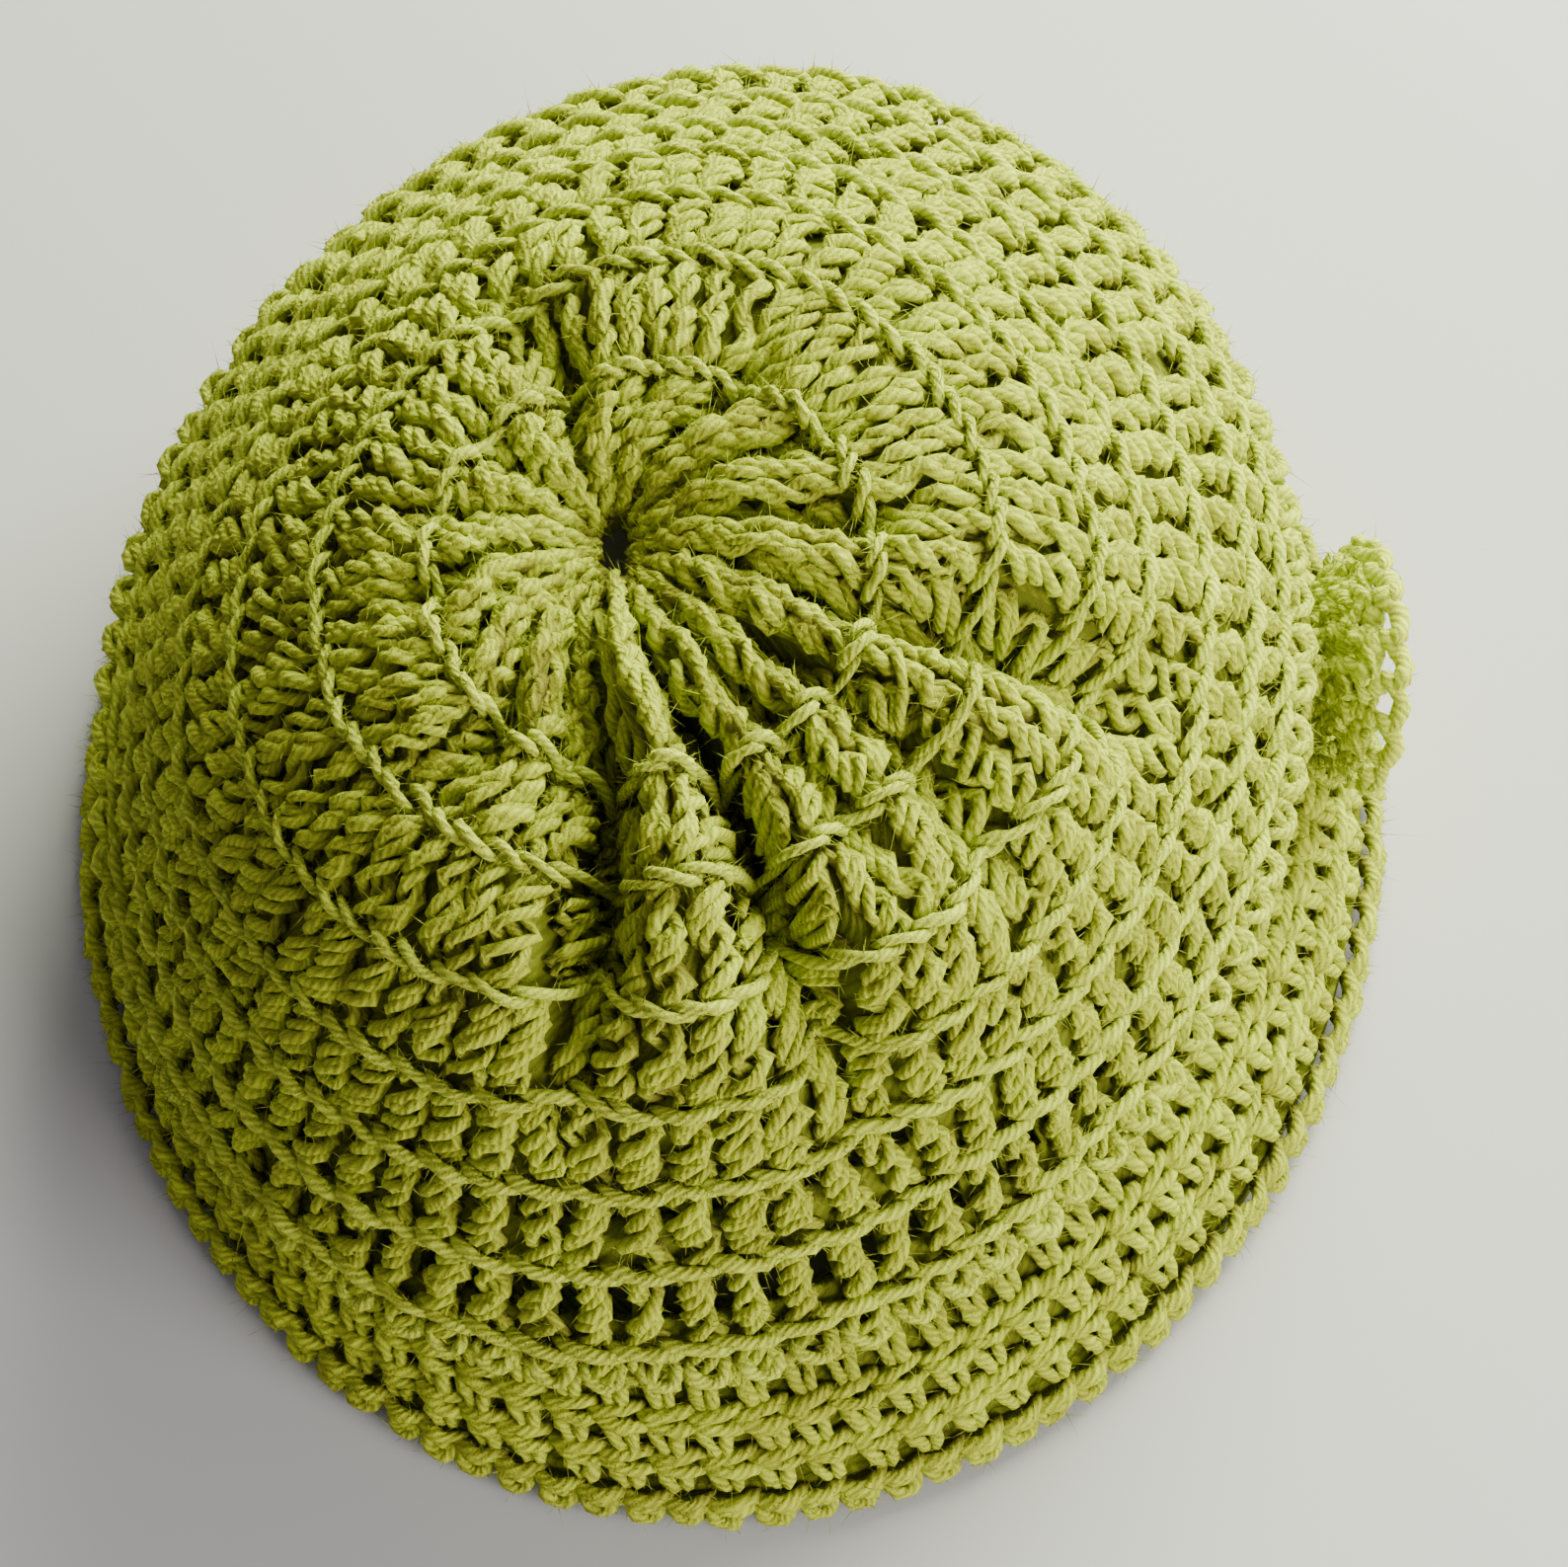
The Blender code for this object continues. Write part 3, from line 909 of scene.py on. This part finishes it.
    def ridge(self, yarn: YarnMesh, place: float, count: int, gauge: float, length: int = 10) -> None:
        """Free front loops along the top of a round: each crosses over the start of the next.

        Args:
            yarn: The mesh that takes them.
            place: Place of the ridge.
            count: Stitches in the round.
            gauge: Yarn size against the standard yarn.
            length: Points along a strand.
        """
        pitch = 1 / count
        share = np.linspace(0, 1, length)
        turn = (self.starts(count, 0.06) - 0.35 + 1.70 * share) * pitch
        slant = self.ridge_slant + self.spread(count, self.ridge_slant_spread)
        along = place + slant * np.tanh((share - 0.5) * 4) + self.spread(count, self.ridge_place_spread)
        height = self.ridge_height + self.spread(count, self.ridge_height_spread)
        lift = height * np.sin(math.pi * share) - self.ridge_root
        self.strands(yarn, turn, along, lift, self.tapered(count, length, gauge * self.ridge_radius))

    def chain(
        self, yarn: YarnMesh, place: float, count: int, spread: float, gauge: float, length: int = 9
    ) -> None:
        """A flat chain along a round: two strands of each link open out like a V on its side.

        Args:
            yarn: The mesh that takes them.
            place: Place of the chain.
            count: Links.
            spread: Half the chain's width, in places.
            gauge: Yarn size against the standard yarn.
            length: Points along a strand.
        """
        pitch = 1 / count
        share = np.linspace(0, 1, length)
        start = self.starts(count, 0.05)
        radius = gauge * self.radius
        for side in (-1, 1):
            turn = (start - 0.15 + 1.35 * share) * pitch
            bow = spread * side * (0.15 + 0.95 * np.sin(math.pi * share * 0.62))
            lift = self.chain_height * np.sin(math.pi * share) - self.root
            lift = lift + self.chain_tilt * side * (share - 0.5) + self.spread(count, self.lift_spread)
            self.strands(yarn, turn, place + bow + 0 * turn, lift, self.tapered(count, length, radius))

    def vees(
        self, yarn: YarnMesh, first: float, last: float, count: int, gauge: float, length: int = 8
    ) -> None:
        """Short stitches of one round: two legs that meet at the foot like a V.

        Args:
            yarn: The mesh that takes them.
            first: Place of their tops.
            last: Place of their feet.
            count: Stitches in the round.
            gauge: Yarn size against the standard yarn.
            length: Points along a leg.
        """
        pitch = 1 / count
        share = np.linspace(0, 1, length)
        middle = self.starts(count, 0.05) + 0.5
        for side in (-1, 1):
            turn = (middle + side * (0.30 - 0.24 * share) + 0.12 * (share - 0.5)) * pitch
            place = first + (last - first) * share + 0 * turn
            lift = self.vee_height * np.sin(math.pi * share) ** 0.7 - self.root
            lift = lift + self.spread(count, self.lift_spread)
            self.strands(yarn, turn, place, lift, self.tapered(count, length, gauge * self.radius))

    def knobs(
        self, yarn: YarnMesh, place: float, count: int, height: float, proud: float, gauge: float,
        length: int = 9,
    ) -> None:
        """A row of small knobs: each is a loop of yarn that hangs out of the fabric and goes back.

        Args:
            yarn: The mesh that takes them.
            place: Place of the knobs' middles.
            count: Knobs in the round.
            height: Half a knob's height, in places.
            proud: How far a knob stands out.
            gauge: Yarn size against the standard yarn.
            length: Points along a strand.
        """
        pitch = 1 / count
        share = np.linspace(0, 1, length)
        middle = self.starts(count, 0.06) + 0.5
        curl = math.pi * (1.3 * share - 0.15)
        turn = (middle - 0.34 * np.cos(curl)) * pitch
        rise = place + height * (np.sin(curl) - 0.4)
        lift = (proud + self.knob_root) * np.sin(math.pi * share) ** 0.6 - self.knob_root
        lift = lift * (1 + self.spread(count, self.knob_spread))
        self.strands(yarn, turn, rise + 0 * turn, lift, self.tapered(count, length, gauge * self.radius))


class Halo:
    """Fine fibres that stand out of brushed yarn and soften its outline."""

    radius: float = 0.08 * MM
    reach: float = 1.9 * MM
    root: float = 0.15 * MM
    away_share: float = 0.6
    least_reach: float = 0.3
    least_crest: float = 0.5

    def __init__(self, random: np.random.Generator) -> None:
        """Keep the source of small irregularities."""
        self.random = random

    def grow(self, name: str, yarns: list[YarnMesh], count: int) -> bpy.types.Object:
        """Grow pointed, three-sided fibres from random places on the yarn.

        Args:
            name: The object's name.
            yarns: The meshes that the fibres grow from.
            count: How many fibres.

        Returns:
            The new object.
        """
        points = np.concatenate([np.concatenate(yarn.points) for yarn in yarns])
        out = np.concatenate([np.concatenate(yarn.outward) for yarn in yarns])
        crest = np.concatenate([np.concatenate(yarn.crests) for yarn in yarns])
        proud = np.flatnonzero(crest > self.least_crest)
        chosen = self.random.choice(proud, count, replace=False)
        away = out[chosen]
        first = self.away_share * away + self.random.standard_normal((count, 3))
        first /= np.linalg.norm(first, axis=-1, keepdims=True)
        reach = self.reach * (self.least_reach + self.random.gamma(2.0, 0.35, count))[:, None]
        root = points[chosen] - self.root * away
        side = np.cross(first, self.random.standard_normal((count, 3)))
        side *= self.radius / np.linalg.norm(side, axis=-1, keepdims=True)
        other = np.cross(first, side)
        corners = [
            root + math.cos(angle) * side + math.sin(angle) * other
            for angle in (0, 2 * math.pi / 3, 4 * math.pi / 3)
        ]
        corners.append(root + reach * first)
        walls = np.array([(0, 2, 1), (0, 1, 3), (1, 2, 3), (2, 0, 3)])
        faces = (np.arange(count)[:, None, None] * len(corners) + walls).reshape(-1, 3)
        # Painted light: the fibres take a paler copy of the yarn, for the light that passes through them
        fibre_painted_light = YarnFinish("loose_wool_fibres_painted_light", light="CCDF4E", mid="BECC44")
        mesh = face_mesh(name, np.stack(corners, axis=1).reshape(-1, 3), faces, fibre_painted_light)
        write_crest(mesh, np.ones(len(mesh.vertices)))
        return placed(name, mesh)


@dataclass
class WrongSide:
    """Inner face of the fabric: a closed sheet behind the stitches, ribbed by their backs, with shade
    painted on it.
    """

    surface: Surface
    first: float
    last: float
    stitches: int
    around: int = 312
    rows: int = 31
    inset: float = 2.3 * MM
    thickness: float = 1.5 * MM
    rib: float = 0.35 * MM
    roll: float = 0.5 * MM
    # Crests that set the painted shade of each face: the outer face, seen between the stitches, is painted
    # dark, the inner face a little
    outer_crest: float = 0.26
    inner_crest: float = 0.7

    def kept(self, turn: np.ndarray, place: np.ndarray, holes: tuple) -> np.ndarray:
        """Cells of the sheet that aren't a hole between two stitches.

        Args:
            turn: Shares of the way round, at the cells' middles.
            place: Places, at the cells' middles.
            holes: Rows of the table of open rounds.

        Returns:
            True for each cell that stays.
        """
        kept = np.ones(turn.shape, bool)
        for values in holes:
            row = dict(zip(HOLE_COLUMNS, values))
            down = place - row["round"]
            off_gap = np.abs((turn * row["stitches"] + 0.5) % 1 - 0.5)
            direction = turn * 360
            within = (direction > row["first_direction"]) & (direction < row["last_direction"])
            across = off_gap < row["half_width"]
            kept &= ~((down > 0.05) & (down < row["last_share"]) & across & within)
        return kept

    def build(self, name: str, finish: YarnFinish, holes: tuple = ()) -> bpy.types.Object:
        """Build the sheet.

        Args:
            name: The object's name.
            finish: Its yarn.
            holes: Rows of the table of open rounds.

        Returns:
            The new object.
        """
        turns = np.arange(self.around) / self.around
        turn, place = np.meshgrid(turns, np.linspace(self.first, self.last, self.rows))
        points, normals = self.surface.read(turn, place)
        between = np.abs(np.sin(math.pi * place))
        ribs = self.rib * np.cos(2 * math.pi * self.stitches * turn) * between
        rolls = self.roll * between ** 0.5
        inner = points - normals * (self.inset + self.thickness / 2 + ribs + rolls)[..., None]
        outer = points - normals * (self.inset - self.thickness / 2)
        half_cell = 0.5 / self.around
        half_row = (self.last - self.first) / (self.rows - 1) / 2
        kept = self.kept(turn[:-1] + half_cell, place[:-1] + half_row, holes)
        numbers = np.arange(self.rows * self.around).reshape(self.rows, self.around)
        after = np.roll(numbers, -1, axis=1)
        back = self.rows * self.around
        corners = np.stack([numbers[:-1], after[:-1], after[1:], numbers[1:]], axis=-1)
        faces = [corners[kept][:, ::-1], corners[kept] + back]
        padded = np.pad(kept, ((1, 1), (0, 0)))
        open_sides = (
            (~padded[:-2], 0, 1),
            (~np.roll(kept, -1, axis=1), 1, 2),
            (~padded[2:], 2, 3),
            (~np.roll(kept, 1, axis=1), 3, 0),
        )
        for opened, start, end in open_sides:
            edge = corners[kept & opened]
            near, far = edge[:, start], edge[:, end]
            faces.append(np.stack([near, far, far + back, near + back], axis=-1))
        faces = np.concatenate(faces)
        mesh = face_mesh(name, np.concatenate([outer, inner]).reshape(-1, 3), faces, finish)
        across = np.stack([turn * self.stitches * 3 + place * 6, place], axis=-1)
        across = np.concatenate([across, across]).reshape(-1, 2)
        write_map(mesh, across[faces.reshape(-1)])
        # Painted shade: each face takes a fixed crest, from which the material darkens it
        crests = np.full((2, turn.size), self.outer_crest)
        crests[1] = self.inner_crest
        write_crest(mesh, crests)
        return placed(name, mesh)


@dataclass
class Crown:
    """Gathered, slouchy crown: rounds of tall stitches with a corded ridge between them."""

    form: HatForm
    slouch_round: float = 5.0
    long_round: float = 1.5
    post_points: int = 11
    long_post_points: int = 26
    lip_knobs: int = 82
    back_rows: int = 56
    back_ribs: int = 78
    fibres: int = 28000

    def build(self, random: np.random.Generator) -> list[bpy.types.Object]:
        """Build the stitches, the ridges and the wrong side.

        Args:
            random: Source of small irregularities.

        Returns:
            The crown's pieces.
        """
        surface = Surface(self.form.crown, len(CROWN_ROUNDS) - 1, self.form.crown_base)
        stitcher = Stitcher(surface, random)
        gathered = YarnMesh()
        slouch = YarnMesh()
        ridges = YarnMesh()
        for values in CROWN_STITCHES:
            row = dict(zip(ROUND_COLUMNS, values))
            posts = gathered if row["first"] < self.slouch_round else slouch
            long = row["last"] - row["first"] > self.long_round
            stitcher.posts(
                posts, row["first"], row["last"], row["stitches"], row["gauge"], row["turns"], row["open"],
                row["ragged"], length=self.long_post_points if long else self.post_points,
            )
            if row["ridge"] > 0:
                stitcher.ridge(ridges, row["first"], row["stitches"], row["ridge"])
        stitcher.knobs(ridges, place=8.30, count=self.lip_knobs, height=0.15, proud=1.7 * MM, gauge=0.9)
        halo = Halo(random)
        # Painted highlight: the ridges take a paler copy of the stitches' yarn, for the light that they
        # catch
        corded = YarnFinish("worsted_wool_crown_ridges_painted_highlight", light="D6E650", mid="B4C03E")
        # Painted shade: the wrong side is darkened where it shows between the stitches
        backing = YarnFinish("worsted_wool_crown_back", painted_shade=WRONG_SIDE_PAINTED_SHADE)
        back = WrongSide(surface, first=0.15, last=9.95, stitches=self.back_ribs, rows=self.back_rows)
        pieces = [
            gathered.finish("crown_gathered_stitches", YarnFinish("worsted_wool_gathered_stitches")),
            slouch.finish("crown_slouch_stitches", YarnFinish("worsted_wool_slouch_stitches")),
            halo.grow("crown_gathered_fibres", [gathered, ridges], self.fibres),
            halo.grow("crown_slouch_fibres", [slouch, ridges], self.fibres),
            ridges.finish("crown_ridges", corded),
            back.build("crown_wrong_side", backing, HOLE_ROUNDS),
        ]
        return dressed(pieces, "crown")


@dataclass
class Band:
    """Band that hugs the head: three rounds of short stitches with a chain along each top."""

    form: HatForm
    stitches: int = 88
    fibres: int = 12000

    def build(self, random: np.random.Generator) -> list[bpy.types.Object]:
        """Build the band's stitches and its wrong side.

        Args:
            random: Source of small irregularities.

        Returns:
            The band's pieces.
        """
        rounds = len(BAND_ROUNDS) - 1
        surface = Surface(self.form.band, rounds)
        stitcher = Stitcher(surface, random)
        yarn = YarnMesh()
        for first in range(rounds):
            stitcher.vees(yarn, first + 0.22, first + 1.02, self.stitches, gauge=0.95)
            stitcher.chain(yarn, first + 0.14, self.stitches, spread=0.17, gauge=1.0)
        pieces = [
            yarn.finish("band_stitches", YarnFinish("worsted_wool_band_stitches")),
            Halo(random).grow("band_fibres", [yarn], self.fibres),
            # Painted shade: the wrong side is darkened where it shows between the stitches
            WrongSide(surface, first=0.02, last=2.98, stitches=self.stitches, rows=14).build(
                "band_wrong_side", YarnFinish("worsted_wool_band_back", painted_shade=WRONG_SIDE_PAINTED_SHADE)
            ),
        ]
        return dressed(pieces, "band")


@dataclass
class Edging:
    """Knobbed last round at the rim."""

    form: HatForm
    knobs: int = 104
    fibres: int = 6000

    def build(self, random: np.random.Generator) -> list[bpy.types.Object]:
        """Build the knobs, the chain above them and the wrong side.

        Args:
            random: Source of small irregularities.

        Returns:
            The edging's pieces.
        """
        surface = Surface(self.form.rim, 1)
        stitcher = Stitcher(surface, random)
        yarn = YarnMesh()
        stitcher.chain(yarn, place=0.14, count=self.knobs, spread=0.14, gauge=0.95)
        stitcher.knobs(yarn, place=0.45, count=self.knobs, height=0.33, proud=1.5 * MM, gauge=0.92)
        pieces = [
            yarn.finish("edging_knobs", YarnFinish("worsted_wool_edging_knobs")),
            Halo(random).grow("edging_fibres", [yarn], self.fibres),
            # Painted shade: the wrong side is darkened where it shows between the stitches
            WrongSide(surface, first=0.02, last=0.98, stitches=self.knobs, rows=8).build(
                "edging_wrong_side", YarnFinish("worsted_wool_edging_back", painted_shade=WRONG_SIDE_PAINTED_SHADE)
            ),
        ]
        return dressed(pieces, "edging")


def dressed(pieces: list[bpy.types.Object], node: str) -> list[bpy.types.Object]:
    """Let pieces ride with the hat and stand for a solid, which is hidden.

    Args:
        pieces: The pieces.
        node: The solid that they stand for.

    Returns:
        The same pieces.
    """
    for piece in pieces:
        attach(piece, "root")
        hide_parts(node)
    return pieces


@dataclass
class Flower:
    """Small lacy flower at the side: spokes and scalloped chains on a cupped disc."""

    form: HatForm
    radius: float = 17.5 * MM
    dish: float = 8.5 * MM
    lean: float = math.radians(10.0)
    direction: float = math.radians(6.0)
    seat_round: float = 9.0
    seat_gap: float = 1.8 * MM
    scallops: int = 10
    scallop_share: float = 0.06
    least_place: float = 0.02
    fibres: int = 2500

    def point(self, theta: np.ndarray, place: np.ndarray) -> np.ndarray:
        """Middle of the cupped disc, from its middle at place 0 to its edge at place 1.

        Args:
            theta: Angles round the flower, in radians.
            place: Shares of the way from its middle to its edge.

        Returns:
            Points on the disc.
        """
        seat = self.form.crown(np.array([self.direction]), np.array([self.seat_round]))[0]
        radial = np.array([math.cos(self.direction), math.sin(self.direction), 0.0])
        side = np.array([-radial[1], radial[0], 0.0])
        up = np.array([0.0, 0.0, 1.0])
        climb = radial * math.sin(self.lean) + up * math.cos(self.lean)
        facing = radial * math.cos(self.lean) - up * math.sin(self.lean)
        scallop = 1 - self.scallop_share * np.abs(np.cos(theta * self.scallops / 2)) * place
        reach = (self.radius * np.maximum(place, self.least_place) * scallop)[..., None]
        spread = reach * (np.cos(theta)[..., None] * side + np.sin(theta)[..., None] * climb)
        return seat + radial * self.seat_gap + spread + facing * (self.dish * place ** 2)[..., None]

    def build(self, random: np.random.Generator) -> list[bpy.types.Object]:
        """Build the spokes, chains and middle knot.

        Args:
            random: Source of small irregularities.

        Returns:
            The flower's pieces.
        """
        surface = Surface(self.point, 1)
        stitcher = Stitcher(surface, random)
        yarn = YarnMesh(Seen.BOTH)
        stitcher.posts(yarn, first=0.06, last=0.40, count=7, gauge=1.1, turns=0.8)
        stitcher.chain(yarn, place=0.30, count=6, spread=0.09, gauge=1.2)
        stitcher.chain(yarn, place=0.60, count=12, spread=0.10, gauge=1.2)
        stitcher.posts(yarn, first=0.62, last=0.86, count=12, gauge=0.9, turns=0.6, opened=0.5)
        stitcher.chain(yarn, place=0.88, count=17, spread=0.11, gauge=1.3)
        pieces = [
            # Painted light: the flower takes a paler copy of the yarn, for the light on its seen side
            yarn.finish("flower_lace", YarnFinish("worsted_wool_flower_painted_light", light="DEEC50", mid="CAD844")),
            Halo(random).grow("flower_fibres", [yarn], self.fibres),
        ]
        return dressed(pieces, "flower")


@dataclass
class Studio:
    """Pale floor, soft key light from the right, and the camera of the photograph."""

    target: tuple[float, float, float] = (6.5 * MM, -17 * MM, 50 * MM)
    elevation: float = math.radians(60.5)
    distance: float = 0.80
    focal_share: float = 6015 / 1588
    sensor: float = 36.0
    key_from: tuple[float, float, float] = (0.39, 0.56, 0.46)
    key_power: float = 32.0
    key_size: float = 0.75
    key_colour: str = "F5F9DC"
    fill_from: tuple[float, float, float] = (0.7, -0.7, 0.4)
    fill_power: float = 14.0
    fill_size: float = 0.6
    fill_colour: str = "FFF8F4"
    sky: float = 0.26
    sky_colour: str = "F6ECFA"
    floor_size: float = 6.0

    def camera(self) -> None:
        """Set the camera at the photograph's angle above the floor."""
        data = bpy.data.cameras.new("photo_camera")
        data.sensor_width = self.sensor
        data.lens = self.sensor * self.focal_share
        camera = bpy.data.objects.new("photo_camera", data)
        bpy.context.scene.collection.objects.link(camera)
        back = np.array([0.0, -math.cos(self.elevation), math.sin(self.elevation)])
        camera.location = np.array(self.target) + self.distance * back
        camera.rotation_euler = (math.pi / 2 - self.elevation, 0.0, 0.0)
        bpy.context.scene.camera = camera

    def light(self, name: str, place: tuple, power: float, size: float, colour: str) -> None:
        """Hang a soft square light that faces the hat.

        Args:
            name: The light's name.
            place: Where it hangs.
            power: Its power in watts.
            size: Its side.
            colour: Its colour.
        """
        data = bpy.data.lights.new(name, "AREA")
        data.energy = power
        data.size = size
        data.color = linear(colour)[:3]
        light = bpy.data.objects.new(name, data)
        bpy.context.scene.collection.objects.link(light)
        light.location = place
        light.rotation_euler = direction_angles(np.array(self.target) - np.array(place))

    def floor(self) -> None:
        """Lay a wide, flat, pale floor."""
        bpy.ops.object.select_all(action="DESELECT")
        bpy.ops.mesh.primitive_plane_add(size=self.floor_size, location=(0, 0, 0))
        floor = bpy.context.object
        floor.name = "floor"
        floor.data.materials.append(PaperFinish().material())

    def build(self) -> None:
        """Build the floor, lights, sky and camera."""
        self.floor()
        self.camera()
        self.light("key", self.key_from, self.key_power, self.key_size, self.key_colour)
        self.light("fill", self.fill_from, self.fill_power, self.fill_size, self.fill_colour)
        world = bpy.data.worlds.new("studio_sky")
        world.use_nodes = True
        sky = world.node_tree.nodes["Background"]
        sky.inputs[0].default_value = linear(self.sky_colour)
        sky.inputs[1].default_value = self.sky
        bpy.context.scene.world = world


def direction_angles(away: np.ndarray) -> tuple[float, float, float]:
    """Euler angles that point an object's -Z axis along a direction.

    Args:
        away: The direction.

    Returns:
        The three angles, in radians.
    """
    length = float(np.linalg.norm(away))
    tilt = math.acos(-away[2] / length)
    turn = math.atan2(away[1], away[0]) - math.pi / 2
    return (tilt, 0.0, turn)


def main() -> None:
    """Build and dress every piece of the hat, then the studio."""
    random = np.random.default_rng(SEED)
    form = HatForm()
    for part in (Crown(form), Band(form), Edging(form), Flower(form)):
        pieces = part.build(random)
        log.info("%s: %s", type(part).__name__, ", ".join(piece.name for piece in pieces))
    Studio().build()


if __name__ == "__main__":
    main()
